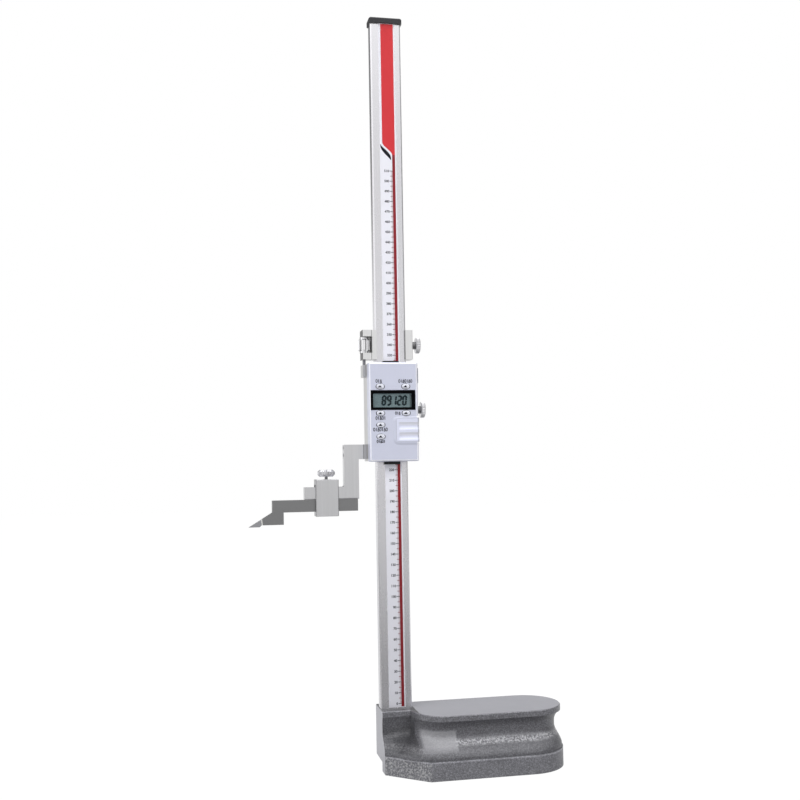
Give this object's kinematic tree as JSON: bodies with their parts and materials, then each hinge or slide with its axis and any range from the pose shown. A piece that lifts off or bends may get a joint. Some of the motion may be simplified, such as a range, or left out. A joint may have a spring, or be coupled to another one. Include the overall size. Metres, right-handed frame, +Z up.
{
  "type": "digital height gauge",
  "caption": "Digital height gauge: waisted cast base, upright beam with a printed scale, display slider, fine-adjust carriage and clamped carbide scriber.",
  "frame": {"origin": "middle of the footprint of the whole gauge, scriber included, on the surface plate", "axes": "+Z up the beam; +X from the scriber tip to the base's round end; -Y out of the face that carries the scale and the display"},
  "size_m": [0.293, 0.077, 0.7216],
  "materials": {
    "cast_base": "hammertone grey enamel, ground nose face, table top and underside",
    "beam_steel": "satin ground stainless steel",
    "screw_steel": "bright plated screws",
    "grating": "green fibreglass strip with copper pads",
    "label_white": "white printed film, mm scale, red stripe",
    "cap_black": "matt black moulding",
    "slider_steel": "satin steel",
    "gib_brass": "plain brass",
    "wiper_rubber": "black rubber",
    "knob_steel": "satin plated steel, straight knurl",
    "wheel_chrome": "bright plated, straight knurl",
    "arm_steel": "satin plated steel",
    "scriber_steel": "ground tool steel",
    "braze": "silver braze line",
    "carbide": "ground carbide",
    "housing_silver": "silver-lavender satin plastic",
    "overlay_silver": "satin printed overlay",
    "bezel_black": "black frame",
    "window_clear": "clear window",
    "lcd_grey": "grey-green liquid crystal panel",
    "zebra": "conductive rubber strip",
    "board_green": "green circuit board",
    "head_black": "black coated sensor",
    "switch_black": "black switch bodies",
    "cell_steel": "bright steel can",
    "contact_brass": "sprung brass",
    "button_silver": "domed silver-lavender satin button",
    "cover_silver": "silver-lavender satin plastic",
    "port_grey": "grey plastic"
  },
  "bodies": {
    "base": {"base_casting": "cast_base", "beam": "beam_steel", "beam_screws": "screw_steel", "grating_strip": "grating", "scale_label": "label_white", "beam_cap": "cap_black"},
    "slider": {"slider_frame": "slider_steel", "slider_back_plate": "slider_steel", "back_plate_screws": "screw_steel", "slider_gib": "gib_brass", "gib_screws": "screw_steel", "slider_wipers": "wiper_rubber", "measuring_arm": "arm_steel", "arm_screws": "screw_steel", "fine_adjust_screw": "screw_steel", "electronics_housing": "housing_silver", "face_overlay": "overlay_silver", "housing_screws": "screw_steel", "display_bezel": "bezel_black", "display_window": "window_clear", "lcd_panel": "lcd_grey", "zebra_strips": "zebra", "circuit_board": "board_green", "reading_head": "head_black", "key_switches": "switch_black", "button_cell": "cell_steel", "cell_contacts": "contact_brass", "port_connector": "switch_black"},
    "slider_lock": {"slider_lock_screw": "knob_steel"},
    "carriage": {"carriage_frame": "slider_steel", "carriage_pad": "gib_brass"},
    "fine_wheel": {"fine_adjust_wheel": "wheel_chrome"},
    "carriage_lock": {"carriage_lock_screw": "knob_steel"},
    "clamp": {"scriber_clamp": "arm_steel"},
    "clamp_knob": {"clamp_screw": "knob_steel"},
    "scriber": {"scriber_body": "scriber_steel", "braze_seam": "braze", "carbide_tip": "carbide"},
    "battery_door": {"battery_cover": "cover_silver"},
    "port_lid": {"port_cover": "port_grey"},
    "tolerance_button_key": {"tolerance_button": "button_silver"},
    "power_button_key": {"power_button": "button_silver"},
    "hold_button_key": {"hold_button": "button_silver"},
    "direction_button_key": {"direction_button": "button_silver"},
    "zero_button_key": {"zero_button": "button_silver"},
    "unit_button_key": {"unit_button": "button_silver"}
  },
  "joints": [
    {"name": "slider_travel", "type": "slide", "parent": "base", "child": "slider", "axis": [0, 0, 1], "range_m": [-0.228, 0.272]},
    {"name": "slider_lock_turn", "type": "hinge", "parent": "slider", "child": "slider_lock", "pos_m": [0.0195, 0.02, 0.3368], "axis": [1, 0, 0], "range_deg": [-20, 180]},
    {"name": "fine_wheel_turn", "type": "hinge", "parent": "carriage", "child": "fine_wheel", "pos_m": [-0.035, 0.02, 0.3994], "axis": [0, 0, 1], "range_deg": [-1801, 4321]},
    {"name": "carriage_travel", "type": "slide", "parent": "slider", "child": "carriage", "axis": [0, 0, 1], "range_m": [-0.0025, 0.006]},
    {"name": "carriage_lock_turn", "type": "hinge", "parent": "carriage", "child": "carriage_lock", "pos_m": [0.0165, 0.02, 0.3994], "axis": [1, 0, 0], "range_deg": [-20, 180]},
    {"name": "clamp_slide", "type": "slide", "parent": "slider", "child": "clamp", "axis": [1, 0, 0], "range_m": [-0.0105, 0.0055]},
    {"name": "clamp_screw_turn", "type": "hinge", "parent": "clamp", "child": "clamp_knob", "pos_m": [-0.07315, 0.02, 0.277], "axis": [0, 0, 1], "range_deg": [-20, 180]},
    {"name": "scriber_slide", "type": "slide", "parent": "slider", "child": "scriber", "axis": [1, 0, 0], "range_m": [-0.015, 0.015]},
    {"name": "battery_cover_slide", "type": "slide", "parent": "slider", "child": "battery_door", "axis": [1, 0, 0], "range_m": [0, 0.014]},
    {"name": "port_cover_slide", "type": "slide", "parent": "slider", "child": "port_lid", "axis": [1, 0, 0], "range_m": [0, 0.012]},
    {"name": "tolerance_button_press", "type": "slide", "parent": "slider", "child": "tolerance_button_key", "axis": [0, 1, 0], "range_m": [0, 0.0006], "stiffness_N_per_m": 600, "springref_m": -0.001},
    {"name": "power_button_press", "type": "slide", "parent": "slider", "child": "power_button_key", "axis": [0, 1, 0], "range_m": [0, 0.0006], "stiffness_N_per_m": 600, "springref_m": -0.001},
    {"name": "hold_button_press", "type": "slide", "parent": "slider", "child": "hold_button_key", "axis": [0, 1, 0], "range_m": [0, 0.0006], "stiffness_N_per_m": 600, "springref_m": -0.001},
    {"name": "direction_button_press", "type": "slide", "parent": "slider", "child": "direction_button_key", "axis": [0, 1, 0], "range_m": [0, 0.0006], "stiffness_N_per_m": 600, "springref_m": -0.001},
    {"name": "zero_button_press", "type": "slide", "parent": "slider", "child": "zero_button_key", "axis": [0, 1, 0], "range_m": [0, 0.0006], "stiffness_N_per_m": 600, "springref_m": -0.001},
    {"name": "unit_button_press", "type": "slide", "parent": "slider", "child": "unit_button_key", "axis": [0, 1, 0], "range_m": [0, 0.0006], "stiffness_N_per_m": 600, "springref_m": -0.001}
  ],
  "couplings": [
    {"joint": "fine_wheel_turn", "follows": "carriage_travel", "rad_per_m": 12566}
  ]
}
